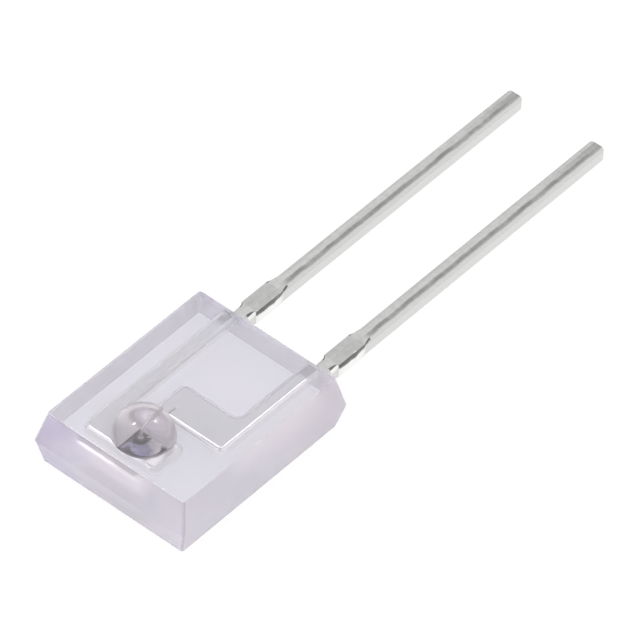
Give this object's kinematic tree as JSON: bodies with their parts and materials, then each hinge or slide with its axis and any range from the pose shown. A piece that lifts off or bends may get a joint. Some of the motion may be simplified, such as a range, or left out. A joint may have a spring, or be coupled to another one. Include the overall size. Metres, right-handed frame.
{
  "type": "side-looking phototransistor",
  "caption": "Side-looking phototransistor: clear lilac epoxy body with a moulded half-ball lens over the chip, and straight tin-plated leads from one end.",
  "frame": {"origin": "middle of the flat back face of the epoxy body", "axes": "+Z the way the lens looks, +Y the way the leads run, +X from the collector lead to the emitter lead"},
  "size_m": [0.0046, 0.0162, 0.0023],
  "materials": {
    "clear_epoxy": "gloss",
    "tinned_steel": "satin",
    "silicon": "gloss",
    "silver_adhesive": "matte",
    "gold": "polished"
  },
  "bodies": {
    "root": {"epoxy_body": "clear_epoxy", "collector_lead": "tinned_steel", "emitter_lead": "tinned_steel", "die": "silicon", "die_adhesive": "silver_adhesive", "bond_wire": "gold"}
  },
  "joints": []
}
